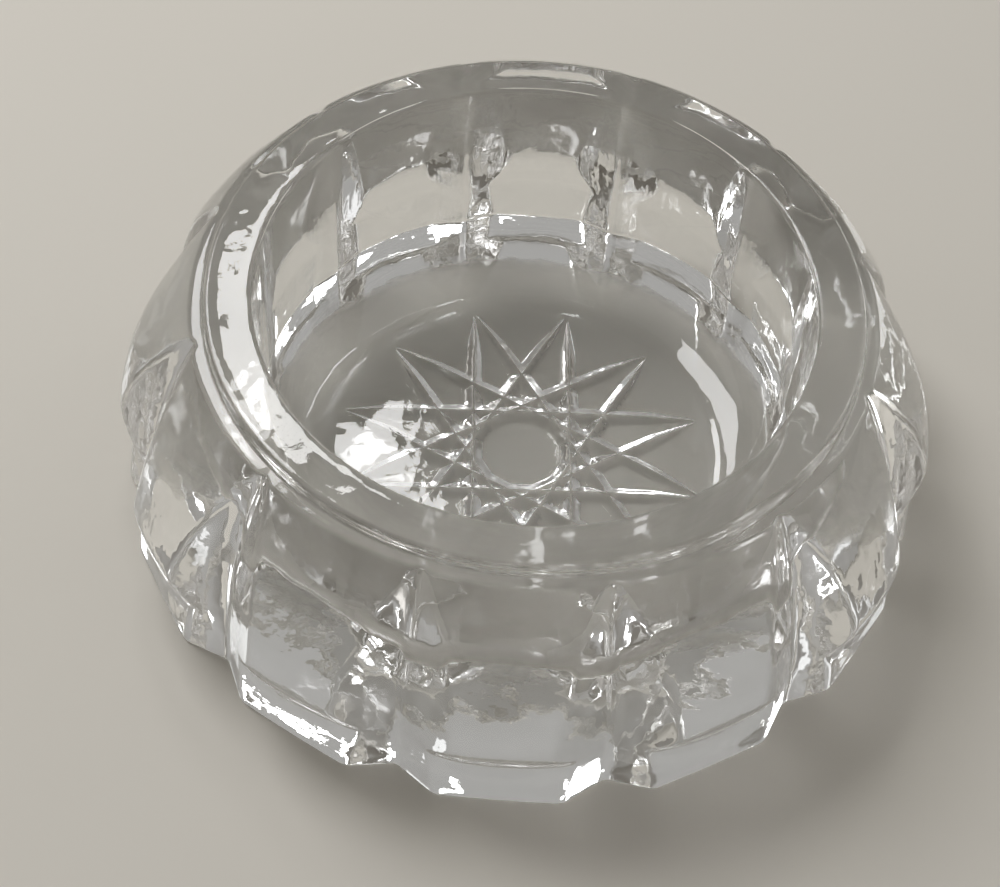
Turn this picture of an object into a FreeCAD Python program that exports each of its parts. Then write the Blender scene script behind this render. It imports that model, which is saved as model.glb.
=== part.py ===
import FreeCAD, Part
import math
import os

# Pressed-glass dappen dish.
# Millimetres, +Z up, origin at the centre of the plane the feet rest on.
# The dish is one piece of clear glass: a round bowl with a flat-topped rim,
# twelve pillow-shaped lobes around the outside parted by V-shaped flutes,
# twelve low feet under the lobes and a twelve-pointed star of crossing V
# grooves pressed into the underside of the floor.

# ---------------------------------------------------------------- dimensions
HEIGHT = 19.6             # feet to top of rim
RIM_R = 23.0              # outer radius of the rim ring
RIM_EDGE_OUT = 0.45       # rounding of the outer rim edge
RIM_EDGE_IN = 0.35        # rounding of the inner rim edge

BOWL_R_TOP = 19.55        # bowl wall at the rim
BOWL_R_LOW = 19.25        # bowl wall where it runs into the floor sweep
BOWL_DEPTH = 17.6         # rim to floor
BOWL_SWEEP = 5.3          # radius of the sweep between wall and floor

LOBES = 12
PITCH = 360.0 / LOBES
FIRST_LOBE = -90.0        # one lobe is centred on -Y
FLUTE_HALF = 66.0         # half the angle between the two walls of a flute
VALLEY_TOP_R = 23.1       # flute valley carried up to rim height
VALLEY_END_R = 27.5       # flute valley where it ends at the waist
VALLEY_BOW = 0.8          # how far the valley bows out half way between the two
WAIST_Z = 4.8             # height at which flutes end and feet begin
FOOT_VALLEY_R = 27.80     # valley between the feet at the table
FOOT_CORNER_R = 29.37     # corner of a foot at the table
FOOT_HALF_DEG = 8.6       # half the angle a foot takes up at the table
FOOT_FACE_R = 29.10       # middle of the foot face at the table

# height, crest radius of the lobe, half angle of the lobe face
LOBE_LEVELS = [
    (18.60, 23.85, 13.4),
    (17.30, 24.98, 12.2),
    (15.00, 26.50, 10.3),
    (12.70, 27.85, 8.8),
    (10.40, 28.80, 7.6),
    (8.10, 29.42, 6.8),
    (6.60, 29.65, 6.6),
    (5.60, 29.45, 7.6),
    (WAIST_Z, 28.95, 9.8),
]
# below the waist each foot has a nearly upright, nearly flat face
TOE_LEVELS = [
    (3.20, 28.98, 9.4),
    (1.60, 29.05, 9.0),
]

STAR_POINTS = 12
STAR_SKIP = 5             # each groove joins a point to the fifth one on
STAR_TURN = 11.8          # the star is turned this far from the lobes, towards +X from +Y
STAR_TIP_R = 14.2         # where two grooves meet in a point
GROOVE_HALF_W = 0.78      # half width of a groove along its middle
GROOVE_DEPTH = 0.75       # depth of a groove along its middle
# share of the half length, share of the full depth
GROOVE_RUN = [(0.30, 1.0), (0.72, 0.74), (1.0, 0.0)]


def vec(r, deg, z):
    a = math.radians(deg)
    return FreeCAD.Vector(r * math.cos(a), r * math.sin(a), z)


# ------------------------------------------------------------ outside sections
def flute_radius(z):
    s = (HEIGHT - z) / (HEIGHT - WAIST_Z)
    return VALLEY_TOP_R + (VALLEY_END_R - VALLEY_TOP_R) * s + 4.0 * VALLEY_BOW * s * (1.0 - s)


def wall_radius(valley, off_deg):
    """Radius at which a flute wall stands, off_deg away from its valley."""
    off = math.radians(off_deg)
    return valley / (math.cos(off) - math.sin(off) / math.tan(math.radians(FLUTE_HALF)))


def section(z, crest, half_deg, valley, edge):
    """Closed outline at one height: per lobe a wall, a bowed face and a wall."""
    edges = []
    for k in range(LOBES):
        mid = FIRST_LOBE + k * PITCH
        v0 = vec(valley, mid - PITCH / 2.0, z)
        e0 = vec(edge, mid - half_deg, z)
        top = vec(crest, mid, z)
        e1 = vec(edge, mid + half_deg, z)
        v1 = vec(valley, mid + PITCH / 2.0, z)
        edges.append(Part.LineSegment(v0, e0).toShape())
        edges.append(Part.Arc(e0, top, e1).toShape())
        edges.append(Part.LineSegment(e1, v1).toShape())
    return Part.Wire(edges)


upper = []
for z, crest, half in LOBE_LEVELS:
    v = flute_radius(z)
    upper.append(section(z, crest, half, v, wall_radius(v, PITCH / 2.0 - half)))
upper_body = Part.makeLoft(upper, True, False)

waist_z, waist_crest, waist_half = LOBE_LEVELS[-1]
waist_v = flute_radius(waist_z)
waist_e = wall_radius(waist_v, PITCH / 2.0 - waist_half)


def at_foot(z, top_value, bottom_value):
    t = (waist_z - z) / waist_z
    return top_value + (bottom_value - top_value) * t


lower = [section(waist_z, waist_crest, waist_half, waist_v, waist_e)]
for z, crest, half in TOE_LEVELS:
    lower.append(section(z, crest, half,
                         at_foot(z, waist_v, FOOT_VALLEY_R),
                         at_foot(z, waist_e, FOOT_CORNER_R)))
lower.append(section(0.0, FOOT_FACE_R, FOOT_HALF_DEG, FOOT_VALLEY_R, FOOT_CORNER_R))
lower_body = Part.makeLoft(lower, True, False)

# ------------------------------------------------------- rim ring and its edge
ring_low = LOBE_LEVELS[0][0] - 0.6
p = [
    FreeCAD.Vector(0, 0, ring_low),
    FreeCAD.Vector(RIM_R, 0, ring_low),
    FreeCAD.Vector(RIM_R, 0, HEIGHT - RIM_EDGE_OUT),
    FreeCAD.Vector(RIM_R - RIM_EDGE_OUT, 0, HEIGHT),
    FreeCAD.Vector(0, 0, HEIGHT),
]
q = RIM_EDGE_OUT * (1.0 - math.sqrt(0.5))
ring_wire = Part.Wire([
    Part.LineSegment(p[0], p[1]).toShape(),
    Part.LineSegment(p[1], p[2]).toShape(),
    Part.Arc(p[2], FreeCAD.Vector(RIM_R - q, 0, HEIGHT - q), p[3]).toShape(),
    Part.LineSegment(p[3], p[4]).toShape(),
    Part.LineSegment(p[4], p[0]).toShape(),
])
ring = Part.Face(ring_wire).revolve(FreeCAD.Vector(0, 0, 0), FreeCAD.Vector(0, 0, 1), 360)

body = lower_body.fuse(upper_body).fuse(ring).removeSplitter()

# ------------------------------------------------------------------- the bowl
floor_z = HEIGHT - BOWL_DEPTH
s = BOWL_SWEEP
m = s * math.sqrt(0.5)
e = RIM_EDGE_IN
n = e * (1.0 - math.sqrt(0.5))
b0 = FreeCAD.Vector(0, 0, floor_z)
b1 = FreeCAD.Vector(BOWL_R_LOW - s, 0, floor_z)
bm = FreeCAD.Vector(BOWL_R_LOW - s + m, 0, floor_z + s - m)
b2 = FreeCAD.Vector(BOWL_R_LOW, 0, floor_z + s)
b3 = FreeCAD.Vector(BOWL_R_TOP, 0, HEIGHT - e)
bn = FreeCAD.Vector(BOWL_R_TOP + n, 0, HEIGHT - n)
b4 = FreeCAD.Vector(BOWL_R_TOP + e, 0, HEIGHT)
b5 = FreeCAD.Vector(BOWL_R_TOP + e, 0, HEIGHT + 2.0)
b6 = FreeCAD.Vector(0, 0, HEIGHT + 2.0)
bowl_wire = Part.Wire([
    Part.LineSegment(b0, b1).toShape(),
    Part.Arc(b1, bm, b2).toShape(),
    Part.LineSegment(b2, b3).toShape(),
    Part.Arc(b3, bn, b4).toShape(),
    Part.LineSegment(b4, b5).toShape(),
    Part.LineSegment(b5, b6).toShape(),
    Part.LineSegment(b6, b0).toShape(),
])
bowl = Part.Face(bowl_wire).revolve(FreeCAD.Vector(0, 0, 0), FreeCAD.Vector(0, 0, 1), 360)
body = body.cut(bowl)

# ------------------------------------------ underside: flat, with the star in it
def facet(*pts):
    return Part.Face(Part.makePolygon(list(pts) + [pts[0]]))


def groove_tool():
    """A long V wedge lying along X, shallower towards its two pointed ends."""
    half = STAR_TIP_R * math.sin(math.radians(15.0 * STAR_SKIP))
    off = STAR_TIP_R * math.cos(math.radians(15.0 * STAR_SKIP))
    k = GROOVE_HALF_W / GROOVE_DEPTH
    low = -0.6                                   # the wedge goes on down, clear of the glass
    run = [(s * half, d * GROOVE_DEPTH) for s, d in GROOVE_RUN[:-1]]
    s1, d1 = run[-1]
    slope = d1 / (half - s1)
    end = half - low / slope                     # where the last slope comes down to the low plane
    side = [(-s, d) for s, d in reversed(run)] + run

    def crest(s, d):
        return FreeCAD.Vector(s, off, d)

    def foot(s, d, sign):
        return FreeCAD.Vector(s, off + sign * k * (d - low), low)

    left = FreeCAD.Vector(-end, off, low)
    right = FreeCAD.Vector(end, off, low)
    faces = []
    for sign in (1, -1):
        faces.append(facet(left, foot(*side[0], sign), crest(*side[0])))
        faces.append(facet(right, foot(*side[-1], sign), crest(*side[-1])))
        for a, b in zip(side, side[1:]):
            faces.append(facet(foot(*a, sign), foot(*b, sign), crest(*b), crest(*a)))
    under = [left] + [foot(*q, 1) for q in side] + [right] + [foot(*q, -1) for q in reversed(side)]
    faces.append(facet(*under))
    solid = Part.makeSolid(Part.makeShell(faces))
    if solid.Volume < 0:
        solid.reverse()
    return solid


one = groove_tool()
for k in range(STAR_POINTS):
    t = one.copy()
    turn = FIRST_LOBE - STAR_TURN + 15.0 + k * 360.0 / STAR_POINTS - 90.0
    t.rotate(FreeCAD.Vector(0, 0, 0), FreeCAD.Vector(0, 0, 1), turn)
    body = body.cut(t)

if body.ShapeType == "Compound" and len(body.Solids) == 1:
    body = body.Solids[0]

os.makedirs("parts", exist_ok=True)
body.exportStep("parts/dish_body.step")
print("valid", body.isValid(), "solids", len(body.Solids), "volume mm3", round(body.Volume, 1),
      "box", body.BoundBox)
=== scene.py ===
import math

import bpy
import numpy as np
from mathutils import Matrix, Vector


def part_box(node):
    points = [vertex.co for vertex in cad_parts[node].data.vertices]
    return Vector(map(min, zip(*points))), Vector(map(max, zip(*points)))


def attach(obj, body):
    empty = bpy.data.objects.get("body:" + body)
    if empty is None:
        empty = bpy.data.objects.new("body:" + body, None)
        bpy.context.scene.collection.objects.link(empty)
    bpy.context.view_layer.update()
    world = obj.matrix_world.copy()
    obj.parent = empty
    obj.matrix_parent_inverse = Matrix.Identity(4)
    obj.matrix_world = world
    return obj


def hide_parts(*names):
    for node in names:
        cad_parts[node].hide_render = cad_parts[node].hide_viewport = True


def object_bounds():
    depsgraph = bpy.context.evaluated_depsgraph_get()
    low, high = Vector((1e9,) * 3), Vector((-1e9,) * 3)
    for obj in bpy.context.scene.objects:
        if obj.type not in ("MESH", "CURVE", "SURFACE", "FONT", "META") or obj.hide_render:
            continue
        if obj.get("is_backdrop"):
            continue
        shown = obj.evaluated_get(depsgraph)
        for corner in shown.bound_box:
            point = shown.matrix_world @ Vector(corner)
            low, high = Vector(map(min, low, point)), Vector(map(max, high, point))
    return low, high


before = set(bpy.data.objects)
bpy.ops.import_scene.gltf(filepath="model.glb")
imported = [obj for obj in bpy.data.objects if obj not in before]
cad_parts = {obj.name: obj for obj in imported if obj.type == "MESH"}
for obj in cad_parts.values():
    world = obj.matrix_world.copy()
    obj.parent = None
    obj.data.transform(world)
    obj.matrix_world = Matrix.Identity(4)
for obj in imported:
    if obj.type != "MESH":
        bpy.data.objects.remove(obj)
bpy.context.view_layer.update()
node_lo, node_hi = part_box("dish_body")

MM = 0.001
HEIGHT = (node_hi.z - node_lo.z) / MM      # 19.6

# ------------------------------------------------------------------ dimensions
# the same numbers as the CAD, in millimetres
RIM_R = 23.0
BOWL_R_TOP = 19.55
BOWL_R_LOW = 19.25
BOWL_DEPTH = 17.6
BOWL_SWEEP = 5.3
FLOOR_Z = HEIGHT - BOWL_DEPTH
LOBES = 12
PITCH = 30.0
FIRST_LOBE = -90.0
FLUTE_HALF = math.radians(66.0)
VALLEY_TOP_R = 23.1
VALLEY_END_R = 27.5
VALLEY_BOW = 0.8
WAIST_Z = 4.8
FOOT_VALLEY_R = 27.80
FOOT_CORNER_R = 29.37
FOOT_HALF = 8.6
FOOT_FACE_R = 29.10
LOBE_LEVELS = [
    (18.60, 23.85, 13.4), (17.30, 24.98, 12.2), (15.00, 26.50, 10.3), (12.70, 27.85, 8.8),
    (10.40, 28.80, 7.6), (8.10, 29.42, 6.8), (6.60, 29.65, 6.6), (5.60, 29.45, 7.6), (4.80, 28.95, 9.8)]
TOE_LEVELS = [(3.20, 28.98, 9.4), (1.60, 29.05, 9.0)]
STAR_SKIP = 5
STAR_TURN = 11.8
STAR_TIP_R = 14.2
GROOVE_HALF_W = 0.78
GROOVE_DEPTH = 0.75
GROOVE_RUN = [(0.30, 1.0), (0.72, 0.74), (1.0, 0.0)]
PATCH_R = 15.2             # the star is meshed on its own inside this radius

# --------------------------------------------------------------- smooth curves
def spline(xs, ys):
    """Natural cubic spline through points with rising xs."""
    x, y = np.array(xs, float), np.array(ys, float)
    n = len(x)
    h = np.diff(x)
    a = np.zeros((n, n)); b = np.zeros(n)
    a[0, 0] = a[-1, -1] = 1.0
    for i in range(1, n - 1):
        a[i, i - 1], a[i, i], a[i, i + 1] = h[i - 1], 2 * (h[i - 1] + h[i]), h[i]
        b[i] = 6 * ((y[i + 1] - y[i]) / h[i] - (y[i] - y[i - 1]) / h[i - 1])
    m = np.linalg.solve(a, b)

    def f(v):
        v = np.clip(v, x[0], x[-1])
        i = int(np.clip(np.searchsorted(x, v) - 1, 0, n - 2))
        t0, t1 = x[i + 1] - v, v - x[i]
        return ((m[i] * t0 ** 3 + m[i + 1] * t1 ** 3) / (6 * h[i])
                + (y[i] / h[i] - m[i] * h[i] / 6) * t0
                + (y[i + 1] / h[i] - m[i + 1] * h[i] / 6) * t1)
    return f


up = sorted(LOBE_LEVELS)
crest_up = spline([q[0] for q in up], [q[1] for q in up])
half_up = spline([q[0] for q in up], [q[2] for q in up])
low = sorted([(0.0, FOOT_FACE_R, FOOT_HALF)] + TOE_LEVELS + [LOBE_LEVELS[-1]])
crest_low = spline([q[0] for q in low], [q[1] for q in low])
half_low = spline([q[0] for q in low], [q[2] for q in low])


def flute_radius(z):
    s = (HEIGHT - z) / (HEIGHT - WAIST_Z)
    return VALLEY_TOP_R + (VALLEY_END_R - VALLEY_TOP_R) * s + 4 * VALLEY_BOW * s * (1 - s)


def wall_radius(valley, off):
    off = math.radians(off)
    return valley / (math.cos(off) - math.sin(off) / math.tan(FLUTE_HALF))


def level(z):
    """valley radius, edge radius, crest radius, half angle at a height"""
    if z >= WAIST_Z:
        half = half_up(z)
        v = flute_radius(z)
        return v, wall_radius(v, PITCH / 2 - half), crest_up(z), half
    t = (WAIST_Z - z) / WAIST_Z
    wv = flute_radius(WAIST_Z)
    we = wall_radius(wv, PITCH / 2 - LOBE_LEVELS[-1][2])
    return (wv + (FOOT_VALLEY_R - wv) * t, we + (FOOT_CORNER_R - we) * t, crest_low(z), half_low(z))


def arc3(p0, pm, p1, n):
    """n+1 points on the circle through three points of the plane"""
    (ax, ay), (bx, by), (cx, cy) = p0, pm, p1
    d = 2 * (ax * (by - cy) + bx * (cy - ay) + cx * (ay - by))
    if abs(d) < 1e-9:
        return [(ax + (cx - ax) * i / n, ay + (cy - ay) * i / n) for i in range(n + 1)]
    ux = ((ax * ax + ay * ay) * (by - cy) + (bx * bx + by * by) * (cy - ay) + (cx * cx + cy * cy) * (ay - by)) / d
    uy = ((ax * ax + ay * ay) * (cx - bx) + (bx * bx + by * by) * (ax - cx) + (cx * cx + cy * cy) * (bx - ax)) / d
    r = math.hypot(ax - ux, ay - uy)
    t0, tm, t1 = (math.atan2(y - uy, x - ux) for x, y in (p0, pm, p1))
    while tm - t0 > math.pi: tm -= 2 * math.pi
    while tm - t0 < -math.pi: tm += 2 * math.pi
    while t1 - tm > math.pi: t1 -= 2 * math.pi
    while t1 - tm < -math.pi: t1 += 2 * math.pi
    return [(ux + r * math.cos(t0 + (t1 - t0) * i / n), uy + r * math.sin(t0 + (t1 - t0) * i / n)) for i in range(n + 1)]


# ---------------------------------------------------- one lobe pitch of outline
N_WALL, N_CORNER, N_FACE = 6, 3, 16
VALLEY_SOFT, EDGE_SOFT = 0.45, 0.5        # how far a fire-polished corner reaches along its sides, mm


def half_outline(v, e, c, half):
    """Points (x, y), x along the lobe's middle, from the valley to the crest, corners eased."""
    a15, ah = math.radians(-PITCH / 2), math.radians(-half)
    V = np.array([v * math.cos(a15), v * math.sin(a15)])
    E = np.array([e * math.cos(ah), e * math.sin(ah)])
    wall = E - V
    L = float(np.linalg.norm(wall))
    d = wall / L
    vs, es = min(VALLEY_SOFT, 0.3 * L), min(EDGE_SOFT, 0.3 * L)
    # the face is an arc through both edges and the crest
    face = arc3((E[0], E[1]), (c, 0.0), (E[0], -E[1]), 2 * 40)
    face = np.array(face[:41])
    seg = np.linalg.norm(np.diff(face, axis=0), axis=1)
    run = np.concatenate([[0], np.cumsum(seg)])

    def on_face(s):
        return np.array([np.interp(s, run, face[:, 0]), np.interp(s, run, face[:, 1])])
    es = min(es, 0.3 * run[-1])
    pts = []
    # valley: a parabola between this wall and its mirror image in the valley's plane
    n = np.array([math.cos(a15), math.sin(a15)])             # outward along the valley plane
    tngt = np.array([-math.sin(a15), math.cos(a15)])
    P = V + d * vs
    along = float((P - V) @ n)
    side = float((P - V) @ tngt)
    for i in range(N_CORNER):
        s = i / N_CORNER
        # quadratic through the mirror pair with the walls as tangents
        pts.append(V + n * (along * 0.5 * (1 + s * s)) + tngt * (side * s))
    for i in range(N_WALL + 1):
        pts.append(V + d * (vs + (L - vs - es) * i / N_WALL))
    A, B = E - d * es, on_face(es)
    for i in range(1, 2 * N_CORNER):
        s = i / (2 * N_CORNER)
        pts.append((1 - s) ** 2 * A + 2 * s * (1 - s) * E + s * s * B)
    for i in range(N_FACE + 1):
        pts.append(on_face(es + (run[-1] - es) * i / N_FACE))
    return np.array(pts)


def outline(z):
    h = half_outline(*level(z))
    left = h[:-1]
    right = h[::-1].copy(); right[:, 1] *= -1
    one = np.concatenate([left, right])[:-1]                 # the last valley point is the next lobe's first
    out = []
    for k in range(LOBES):
        a = math.radians(FIRST_LOBE + k * PITCH)
        c, s = math.cos(a), math.sin(a)
        out.append(np.stack([one[:, 0] * c - one[:, 1] * s, one[:, 0] * s + one[:, 1] * c], 1))
    return np.concatenate(out)


PER = 2 * (N_CORNER + N_WALL + 1 + 2 * N_CORNER - 1 + N_FACE)
COLS = PER * LOBES


def ring_at(z):
    p = outline(z)
    return np.column_stack([p, np.full(len(p), z)])


# heights, closer together where the shape turns
def spaced(a, b, n):
    return list(np.linspace(a, b, n))


FOOT_EASE, WAIST_EASE = 0.22, 0.45
zs_side = (spaced(FOOT_EASE, WAIST_Z - WAIST_EASE, 9) + spaced(WAIST_Z - WAIST_EASE, WAIST_Z + WAIST_EASE, 9)[1:-1]
           + spaced(WAIST_Z + WAIST_EASE, 18.35, 34))
rings = []
for z in zs_side:
    q = ring_at(z)
    if abs(z - WAIST_Z) < WAIST_EASE - 1e-6:
        lo, hi, mid = ring_at(WAIST_Z - WAIST_EASE), ring_at(WAIST_Z + WAIST_EASE), ring_at(WAIST_Z)
        s = (z - WAIST_Z + WAIST_EASE) / (2 * WAIST_EASE)
        q = (1 - s) ** 2 * lo + 2 * s * (1 - s) * mid + s * s * hi
    rings.append(q)
assert rings[0].shape[0] == COLS, (rings[0].shape, COLS)

# foot: the side turns under into the resting plane
foot = ring_at(0.0)
first = rings[0]
inward = 1.0 - FOOT_EASE / np.hypot(foot[:, 0], foot[:, 1])
flat_in = foot.copy(); flat_in[:, 0] *= inward; flat_in[:, 1] *= inward
turn = []
for i in range(0, 5):
    s = i / 5
    turn.append((1 - s) ** 2 * flat_in + 2 * s * (1 - s) * foot + s * s * first)

# top of the side: lobes run out under the plain rim ring, with a small ledge
top_side = rings[-1]
ang = np.arctan2(top_side[:, 1], top_side[:, 0])


def circle(r, z, a=None):
    a = ang if a is None else a
    return np.column_stack([r * np.cos(a), r * np.sin(a), np.full(len(a), z)])


def toward(a_ring, b_ring, s):
    return a_ring * (1 - s) + b_ring * s


LEDGE_Z = 18.62
lead = []
for i in range(1, 5):
    s = i / 4
    corner = ring_at(18.60)
    inner = circle(RIM_R + 0.12, LEDGE_Z)
    lead.append((1 - s) ** 2 * top_side + 2 * s * (1 - s) * corner + s * s * toward(corner, inner, 0.5))
neck = [toward(lead[-1], circle(RIM_R, LEDGE_Z + 0.10), s) for s in (0.6, 1.0)]
EO, EI = 0.45, 0.35
rim = []
for i in range(0, 7):
    t = math.pi / 2 * i / 6
    rim.append(circle(RIM_R - EO + EO * math.cos(t), HEIGHT - EO + EO * math.sin(t)))
for s in (0.25, 0.5, 0.75):
    r = (RIM_R - EO) * (1 - s) + (BOWL_R_TOP + EI) * s
    rim.append(circle(r, HEIGHT))
# from here inward the columns spread evenly again
even = ang.copy()
order = np.unwrap(ang)
target = order[0] + np.arange(COLS) * (2 * math.pi / COLS)
target += (order - target).mean()


def bowl_circle(r, z, s=1.0):
    return circle(r, z, order * (1 - s) + target * s)


bowl = []
for i in range(0, 7):
    t = math.pi / 2 * i / 6
    bowl.append(bowl_circle(BOWL_R_TOP + EI - EI * math.sin(t), HEIGHT - EI + EI * math.cos(t), i / 6))
well = []                                   # every other column is enough from here down
for i in range(1, 11):
    s = i / 10
    well.append(bowl_circle(BOWL_R_TOP + (BOWL_R_LOW - BOWL_R_TOP) * s, HEIGHT - EI + (FLOOR_Z + BOWL_SWEEP - HEIGHT + EI) * s)[::2])
for i in range(1, 23):
    t = math.pi / 2 * i / 22
    well.append(bowl_circle(BOWL_R_LOW - BOWL_SWEEP + BOWL_SWEEP * math.cos(t), FLOOR_Z + BOWL_SWEEP - BOWL_SWEEP * math.sin(t))[::2])

# ------------------------------------------------------------- the underside
G_HALF = STAR_TIP_R * math.sin(math.radians(15.0 * STAR_SKIP))
G_OFF = STAR_TIP_R * math.cos(math.radians(15.0 * STAR_SKIP))
G_K = GROOVE_HALF_W / GROOVE_DEPTH
G_S = [0.0] + [q[0] * G_HALF for q in GROOVE_RUN]
G_D = [GROOVE_DEPTH] + [q[1] * GROOVE_DEPTH for q in GROOVE_RUN]
G_NORMALS = [math.radians(FIRST_LOBE - STAR_TURN + 15.0 + 30.0 * k) for k in range(12)]


def soft_max(a, b, k):
    """The larger of two, with the corner between them eased over about k"""
    h = np.clip(0.5 + 0.5 * (a - b) / k, 0.0, 1.0)
    return b * (1 - h) + a * h + k * h * (1 - h)


def star_z(x, y):
    """Height of the underside: V grooves whose bottoms, crossings and lips are all slightly melted"""
    h = np.zeros_like(x)
    for n in G_NORMALS:
        t = x * math.cos(n) + y * math.sin(n) - G_OFF
        u = np.abs(-x * math.sin(n) + y * math.cos(n))
        d = np.interp(u, G_S, G_D)
        d = np.where(u > G_HALF, (G_HALF - u) * GROOVE_RUN[-2][1] * GROOVE_DEPTH / (G_HALF - G_S[-2]), d)
        one = d - (np.sqrt(t * t + 0.04 ** 2) - 0.01) / G_K
        h = soft_max(one, h, 0.05)
    # easing adds a sliver everywhere; far from any groove the face is exactly flat
    return np.maximum(h - 0.0125, 0.0)


under = []
flat0 = np.hypot(flat_in[:, 0], flat_in[:, 1])
flat_a = np.unwrap(np.arctan2(flat_in[:, 1], flat_in[:, 0]))
shift = np.round((flat_a - target).mean() / (2 * math.pi)) * 2 * math.pi
even_a = target + shift
for i in range(1, 9):
    s = i / 8
    r = flat0 * (1 - s) + PATCH_R * s
    a = flat_a * (1 - s) + even_a * s
    under.append(np.column_stack([r * np.cos(a), r * np.sin(a), np.zeros(COLS)]))


def star_patch(edge_xy):
    """Triangles over the star, with edges laid along every groove bottom, groove lip and crossing.
    edge_xy is the ring it joins. Returns points and triangles."""
    from mathutils.geometry import delaunay_2d_cdt
    pts, segs = [], []

    def add(x, y):
        pts.append(Vector((x, y)))
        return len(pts) - 1

    n = len(edge_xy)
    for x, y in edge_xy:
        add(x, y)
    segs += [(i, (i + 1) % n) for i in range(n)]
    step = 0.30
    for nrm in G_NORMALS:
        c, si = math.cos(nrm), math.sin(nrm)
        for share in (-1.1, -0.95, -0.6, -0.12, 0.0, 0.12, 0.6, 0.95, 1.1):
            prev = None
            m = int(2 * G_HALF / step)
            for i in range(m + 1):
                u = -G_HALF + 2 * G_HALF * i / m
                w = np.interp(abs(u), G_S, G_D) * G_K * share
                t = G_OFF + w
                x, y = t * c - u * si, t * si + u * c
                if math.hypot(x, y) > STAR_TIP_R + 0.1:
                    prev = None
                    continue
                cur = add(x, y)
                if prev is not None:
                    segs.append((prev, cur))
                prev = cur
    # radial lines that crossings are mirror images about
    for k in range(24):
        a = math.radians(FIRST_LOBE - STAR_TURN + 15.0 * k)
        prev = None
        for r in np.arange(2.4, 14.0, 0.3):
            cur = add(r * math.cos(a), r * math.sin(a))
            if prev is not None:
                segs.append((prev, cur))
            prev = cur
    # loose points keep the flats evenly divided
    rows = np.arange(-PATCH_R, PATCH_R, 0.62)
    for j, y in enumerate(rows):
        for x in rows + (0.31 if j % 2 else 0.0):
            if math.hypot(x, y) < PATCH_R - 0.5:
                add(x, y)
    co, _, tris, orig, _, _ = delaunay_2d_cdt(pts, segs, [], 1, 1e-5)
    xy = np.array([(v[0], v[1]) for v in co])
    z = star_z(xy[:, 0], xy[:, 1])
    return xy, z, [tuple(t) for t in tris], orig


# --------------------------------------------------------- put it all together
verts, faces = [], []


def add_ring(p):
    start = len(verts)
    verts.extend([tuple(v) for v in p])
    return start


def bridge(a, b, n):
    for i in range(n):
        j = (i + 1) % n
        faces.append((a + i, a + j, b + j, b + i))


def thin_to_centre(start, ring, z, rings_r, flip):
    """Halve the columns ring by ring and close with one small flat face"""
    n, cur, a = len(ring), start, np.unwrap(np.arctan2(ring[:, 1], ring[:, 0]))
    for r in rings_r:
        if n % 2 == 0 and n > 48:
            na = a[::2]
            nxt = add_ring(np.column_stack([r * np.cos(na), r * np.sin(na), np.full(len(na), z)]))
            m = n // 2
            for i in range(m):
                o0, o1, o2 = cur + 2 * i, cur + 2 * i + 1, cur + (2 * i + 2) % n
                i0, i1 = nxt + i, nxt + (i + 1) % m
                for f in ((o0, o1, i0), (o1, i1, i0), (o1, o2, i1)):
                    faces.append(f[::-1] if flip else f)
            n, cur, a = m, nxt, na
        else:
            nxt = add_ring(np.column_stack([r * np.cos(a), r * np.sin(a), np.full(n, z)]))
            for i in range(n):
                j = (i + 1) % n
                f = (cur + i, cur + j, nxt + j, nxt + i)
                faces.append(f[::-1] if flip else f)
            cur = nxt
    f = tuple(cur + i for i in range(n))
    faces.append(f[::-1] if flip else f)


# from the centre of the underside outwards, up the side, over the rim, into the bowl
chain = list(reversed(under)) + turn + rings + lead + neck + rim + bowl
starts = [add_ring(p) for p in chain]
for a, b in zip(starts, starts[1:]):
    bridge(a, b, COLS)
well_starts = [add_ring(p) for p in well]
half_n = COLS // 2
for i in range(half_n):
    o0, o1, o2 = starts[-1] + 2 * i, starts[-1] + 2 * i + 1, starts[-1] + (2 * i + 2) % COLS
    i0, i1 = well_starts[0] + i, well_starts[0] + (i + 1) % half_n
    faces.extend([(o0, o1, i0), (o1, i1, i0), (o1, o2, i1)])
for a, b in zip(well_starts, well_starts[1:]):
    bridge(a, b, half_n)
thin_to_centre(well_starts[-1], well[-1], FLOOR_Z, (12.5, 10.0, 6.5, 3.0), False)

# the star joins the innermost ring of the underside, point for point
edge = chain[0]
xy, zz, tris, orig = star_patch(edge[:, :2])
where = {}
for i, o in enumerate(orig):
    hit = [q for q in o if q < COLS]
    if hit:
        where[i] = starts[0] + hit[0]
for i in range(len(xy)):
    if i not in where:
        where[i] = len(verts)
        verts.append((float(xy[i, 0]), float(xy[i, 1]), float(zz[i])))
for t in tris:
    faces.append(tuple(where[i] for i in t))
print("star patch points", len(xy), "triangles", len(tris))

# pressed glass is never quite true: a slow waviness, none where it rests on the table
rng = np.random.default_rng(41)


def ripple(p, wavelength, count):
    out = np.zeros(len(p))
    for _ in range(count):
        d = rng.normal(size=3); d /= np.linalg.norm(d)
        out += np.sin(p @ d * (2 * math.pi / (wavelength * rng.uniform(0.7, 1.4))) + rng.uniform(0, 2 * math.pi))
    return out / math.sqrt(count)


V = np.array(verts, float)
wave = 0.026 * ripple(V, 5.5, 14) + 0.0055 * ripple(V, 2.0, 18)
rad = np.hypot(V[:, 0], V[:, 1])
inside = (rad < BOWL_R_TOP + 0.36) & (V[:, 2] > FLOOR_Z - 1e-6)
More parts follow.
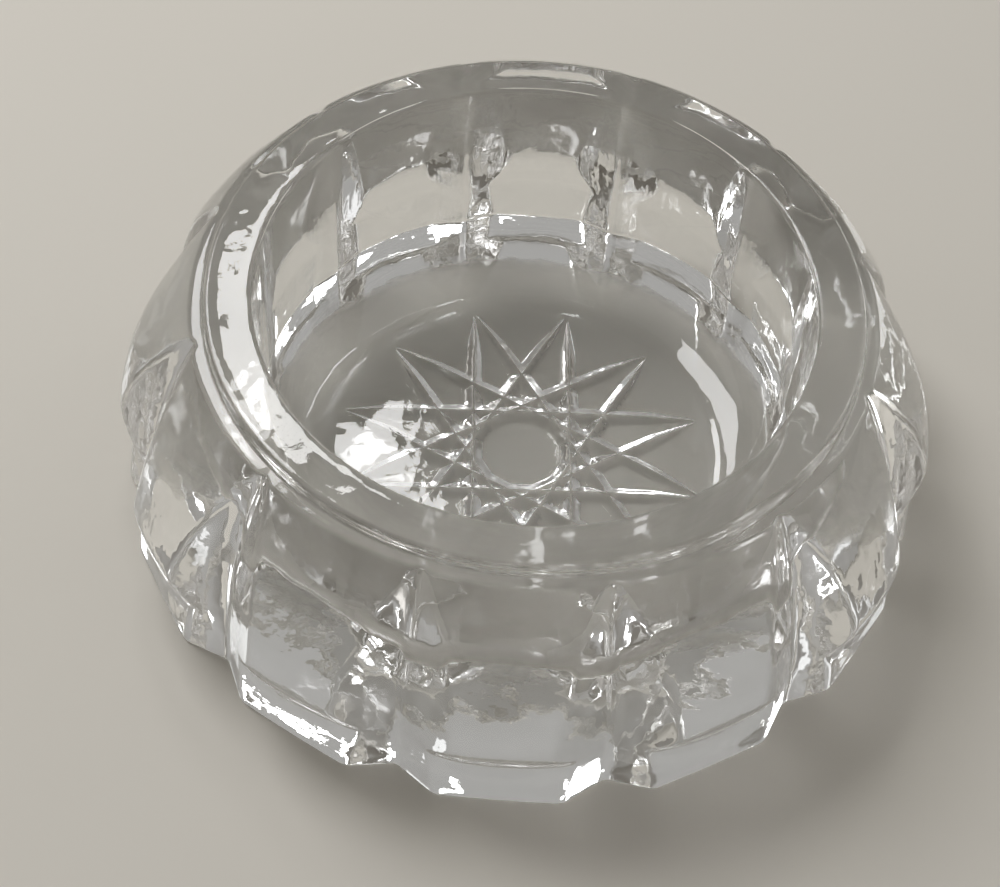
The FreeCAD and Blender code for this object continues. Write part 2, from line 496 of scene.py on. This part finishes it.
# outside: push in or out from the axis; on the bowl floor, up and down; nothing on the rim's top face
fade = np.clip((V[:, 2] - 0.6) / 2.0, 0, 1) * np.clip((HEIGHT - 0.5 - V[:, 2]) / 1.2, 0, 1)
floorish = inside * np.clip((FLOOR_Z + BOWL_SWEEP - V[:, 2]) / BOWL_SWEEP, 0, 1)
fade = np.where(inside, np.clip((HEIGHT - 0.5 - V[:, 2]) / 1.2, 0, 1), fade)
side_push = wave * fade * (1 - floorish)
safe = np.maximum(rad, 1e-6)
V[:, 0] += V[:, 0] / safe * side_push
V[:, 1] += V[:, 1] / safe * side_push
V[:, 2] += 0.8 * wave * floorish
verts = [tuple(v) for v in V]

mesh = bpy.data.meshes.new("dish_glass")
mesh.from_pydata([(x * MM, y * MM, z * MM) for x, y, z in verts], [], faces)
mesh.update()
mesh.validate()
dish = bpy.data.objects.new("dish_glass", mesh)
bpy.context.scene.collection.objects.link(dish)
for p in mesh.polygons:
    p.use_smooth = True

import bmesh
bm = bmesh.new(); bm.from_mesh(mesh)
bmesh.ops.recalc_face_normals(bm, faces=bm.faces)
open_edges = [e for e in bm.edges if len(e.link_faces) != 2]
vol = bm.calc_volume(signed=True)
print("dish mesh: verts", len(bm.verts), "faces", len(bm.faces), "open edges", len(open_edges),
      "volume mm3", round(vol * 1e9, 1))
if open_edges:
    raise RuntimeError("the dish mesh is not closed")
bm.to_mesh(mesh); bm.free()

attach(dish, "root")
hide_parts("dish_body")


# ------------------------------------------------------------------- materials
def new_material(name):
    m = bpy.data.materials.new(name)
    m.use_nodes = True
    m.node_tree.nodes.clear()
    return m, m.node_tree


def glass_material():
    m, nt = new_material("pressed_clear_glass")
    N, L = nt.nodes, nt.links
    out = N.new("ShaderNodeOutputMaterial")
    bsdf = N.new("ShaderNodeBsdfPrincipled")
    bsdf.inputs["IOR"].default_value = 1.51
    bsdf.inputs["Transmission Weight"].default_value = 1.0
    co = N.new("ShaderNodeTexCoord")
    # faint waviness left by the mould and the fire polish
    wave = N.new("ShaderNodeTexNoise"); wave.inputs["Scale"].default_value = 260.0
    wave.inputs["Detail"].default_value = 2.0
    fine = N.new("ShaderNodeTexNoise"); fine.inputs["Scale"].default_value = 1400.0
    fine.inputs["Detail"].default_value = 3.0
    L.new(co.outputs["Object"], wave.inputs["Vector"]); L.new(co.outputs["Object"], fine.inputs["Vector"])
    b1 = N.new("ShaderNodeBump"); b1.inputs["Strength"].default_value = 0.5; b1.inputs["Distance"].default_value = 0.00012
    b2 = N.new("ShaderNodeBump"); b2.inputs["Strength"].default_value = 0.4; b2.inputs["Distance"].default_value = 0.00001
    L.new(wave.outputs["Fac"], b1.inputs["Height"]); L.new(fine.outputs["Fac"], b2.inputs["Height"])
    # upright streaks drawn into the walls as the mould opened, none on level faces
    long = N.new("ShaderNodeMapping"); long.inputs["Scale"].default_value = (1.0, 1.0, 0.07)
    streak = N.new("ShaderNodeTexNoise"); streak.inputs["Scale"].default_value = 620.0
    streak.inputs["Detail"].default_value = 2.0
    L.new(co.outputs["Object"], long.inputs["Vector"]); L.new(long.outputs["Vector"], streak.inputs["Vector"])
    geo = N.new("ShaderNodeNewGeometry"); split = N.new("ShaderNodeSeparateXYZ")
    L.new(geo.outputs["Normal"], split.inputs["Vector"])
    level_face = N.new("ShaderNodeMath"); level_face.operation = "ABSOLUTE"
    L.new(split.outputs["Z"], level_face.inputs[0])
    upright = N.new("ShaderNodeMapRange")
    upright.inputs["From Min"].default_value = 0.85; upright.inputs["From Max"].default_value = 0.35
    upright.inputs["To Min"].default_value = 0.0; upright.inputs["To Max"].default_value = 0.55
    L.new(level_face.outputs[0], upright.inputs["Value"])
    b3 = N.new("ShaderNodeBump"); b3.inputs["Distance"].default_value = 0.00007
    L.new(upright.outputs["Result"], b3.inputs["Strength"]); L.new(streak.outputs["Fac"], b3.inputs["Height"])
    L.new(b1.outputs["Normal"], b2.inputs["Normal"]); L.new(b2.outputs["Normal"], b3.inputs["Normal"])
    L.new(b3.outputs["Normal"], bsdf.inputs["Normal"])
    # handling marks: a little rougher in patches
    smear = N.new("ShaderNodeTexNoise"); smear.inputs["Scale"].default_value = 90.0; smear.inputs["Detail"].default_value = 6.0
    L.new(co.outputs["Object"], smear.inputs["Vector"])
    r = N.new("ShaderNodeMapRange")
    r.inputs["From Min"].default_value = 0.42; r.inputs["From Max"].default_value = 0.75
    r.inputs["To Min"].default_value = 0.0; r.inputs["To Max"].default_value = 0.045
    L.new(smear.outputs["Fac"], r.inputs["Value"]); L.new(r.outputs["Result"], bsdf.inputs["Roughness"])
    # a breath of colour that drifts through the batch
    tint = N.new("ShaderNodeValToRGB")
    tint.color_ramp.elements[0].color = (0.955, 0.965, 0.960, 1); tint.color_ramp.elements[1].color = (0.985, 0.985, 0.980, 1)
    L.new(wave.outputs["Fac"], tint.inputs["Fac"]); L.new(tint.outputs["Color"], bsdf.inputs["Base Color"])
    L.new(bsdf.outputs["BSDF"], out.inputs["Surface"])
    return m


mat = glass_material()
mesh.materials.clear(); mesh.materials.append(mat)


def floor_material():
    m, nt = new_material("pale_cloth")
    N, L = nt.nodes, nt.links
    out = N.new("ShaderNodeOutputMaterial"); bsdf = N.new("ShaderNodeBsdfPrincipled")
    bsdf.inputs["Roughness"].default_value = 0.95
    bsdf.inputs["Specular IOR Level"].default_value = 0.15
    co = N.new("ShaderNodeTexCoord")
    drift = N.new("ShaderNodeTexNoise"); drift.inputs["Scale"].default_value = 12.0
    L.new(co.outputs["Object"], drift.inputs["Vector"])
    ramp = N.new("ShaderNodeValToRGB")
    ramp.color_ramp.elements[0].color = (0.68, 0.65, 0.585, 1); ramp.color_ramp.elements[1].color = (0.75, 0.72, 0.66, 1)
    L.new(drift.outputs["Fac"], ramp.inputs["Fac"]); L.new(ramp.outputs["Color"], bsdf.inputs["Base Color"])
    L.new(bsdf.outputs["BSDF"], out.inputs["Surface"])
    return m


# ------------------------------------------------------------------ the stage
bpy.ops.mesh.primitive_plane_add(size=3.0, location=(0, 0, -0.00004))   # the air gap under the feet
floor = bpy.context.object
floor.name = "stage_floor"
floor.data.materials.append(floor_material())
floor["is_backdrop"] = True

world = bpy.data.worlds.new("soft_room")
bpy.context.scene.world = world
world.use_nodes = True
wn, wl = world.node_tree.nodes, world.node_tree.links
wn.clear()
wo = wn.new("ShaderNodeOutputWorld"); bg = wn.new("ShaderNodeBackground")
tc = wn.new("ShaderNodeTexCoord"); sep = wn.new("ShaderNodeSeparateXYZ"); rp = wn.new("ShaderNodeValToRGB")
wl.new(tc.outputs["Generated"], sep.inputs["Vector"])
# a bright room behind the dish and above it, and a dim one on the near side
up = wn.new("ShaderNodeMath"); up.operation = "MULTIPLY_ADD"
up.inputs[1].default_value = 0.55; up.inputs[2].default_value = 0.12
away = wn.new("ShaderNodeMath"); away.operation = "MULTIPLY_ADD"
away.inputs[1].default_value = 0.35
wl.new(sep.outputs["Z"], up.inputs[0]); wl.new(sep.outputs["Y"], away.inputs[0])
wl.new(up.outputs[0], away.inputs[2]); wl.new(away.outputs[0], rp.inputs["Fac"])
rp.color_ramp.elements[0].color = (0.085, 0.075, 0.061, 1); rp.color_ramp.elements[0].position = 0.0
rp.color_ramp.elements[1].color = (0.36, 0.355, 0.345, 1); rp.color_ramp.elements[1].position = 0.75
mid = rp.color_ramp.elements.new(0.35); mid.color = (0.16, 0.15, 0.135, 1)
wl.new(rp.outputs["Color"], bg.inputs["Color"]); bg.inputs["Strength"].default_value = 1.15
wl.new(bg.outputs["Background"], wo.inputs["Surface"])


def area(name, loc, size, power, colour=(1, 1, 1)):
    d = bpy.data.lights.new(name, "AREA")
    d.shape = "RECTANGLE"; d.size, d.size_y = size; d.energy = power; d.color = colour
    o = bpy.data.objects.new(name, d)
    bpy.context.scene.collection.objects.link(o)
    o.location = loc
    o.rotation_mode = "QUATERNION"
    o.rotation_quaternion = (Vector((0, 0, 0.01)) - Vector(loc)).to_track_quat("-Z", "Y")
    return o


area("key_softbox", (-0.20, 0.20, 0.36), (0.20, 0.20), 1.05, (0.99, 0.99, 1.0))
area("glint_back", (-0.048, 0.252, 0.336), (0.05, 0.05), 0.085, (1.0, 1.0, 1.0))
area("fill_left", (-0.42, 0.12, 0.26), (0.20, 0.20), 0.08, (1.0, 0.96, 0.91))
area("edge_right", (0.34, 0.36, 0.30), (0.14, 0.20), 0.06, (0.97, 0.985, 1.0))

# ----------------------------------------------------------------- the camera
CAM = [2300.0, 6.9234447747330705, 0.8576496806448991, -0.09318015302399227, 0.009646134905450111, -0.0672861496895157]
YAW = math.radians(-1.18)
f_px, D, elev, roll, pan, tilt = CAM


def turned(v, axis, a):
    axis = axis.normalized()
    return v * math.cos(a) + axis.cross(v) * math.sin(a) + axis * axis.dot(v) * (1 - math.cos(a))


c = Vector((0, -D * math.cos(elev), D * math.sin(elev)))
fwd = (-c).normalized()
right = Vector((1, 0, 0)); upv = right.cross(fwd)
fwd2, right2 = turned(fwd, upv, pan), turned(right, upv, pan)
fwd3, up3 = turned(fwd2, right2, tilt), turned(upv, right2, tilt)
r4, u4 = turned(right2, fwd3, roll), turned(up3, fwd3, roll)
rot = Matrix((r4, u4, -fwd3)).transposed().to_4x4()
place = Matrix.Translation(c * (RIM_R * MM) + Vector((0, 0, 0))) @ rot
lift = Matrix.Translation((0, 0, HEIGHT * MM))
cam_data = bpy.data.cameras.new("camera")
cam_data.sensor_fit = "HORIZONTAL"; cam_data.sensor_width = 36.0
cam_data.lens = f_px / 1000.0 * 36.0
cam_data.clip_start, cam_data.clip_end = 0.005, 20.0
cam = bpy.data.objects.new("camera", cam_data)
bpy.context.scene.collection.objects.link(cam)
cam.matrix_world = lift @ Matrix.Rotation(YAW, 4, "Z") @ place
bpy.context.scene.camera = cam

bpy.context.scene.view_settings.view_transform = "Standard"
# light has to turn many times inside solid glass before it leaves it
cy = bpy.context.scene.cycles
cy.max_bounces, cy.transmission_bounces, cy.glossy_bounces = 32, 32, 32
cy.transparent_max_bounces = 32
cy.diffuse_bounces = 4

lo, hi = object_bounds()
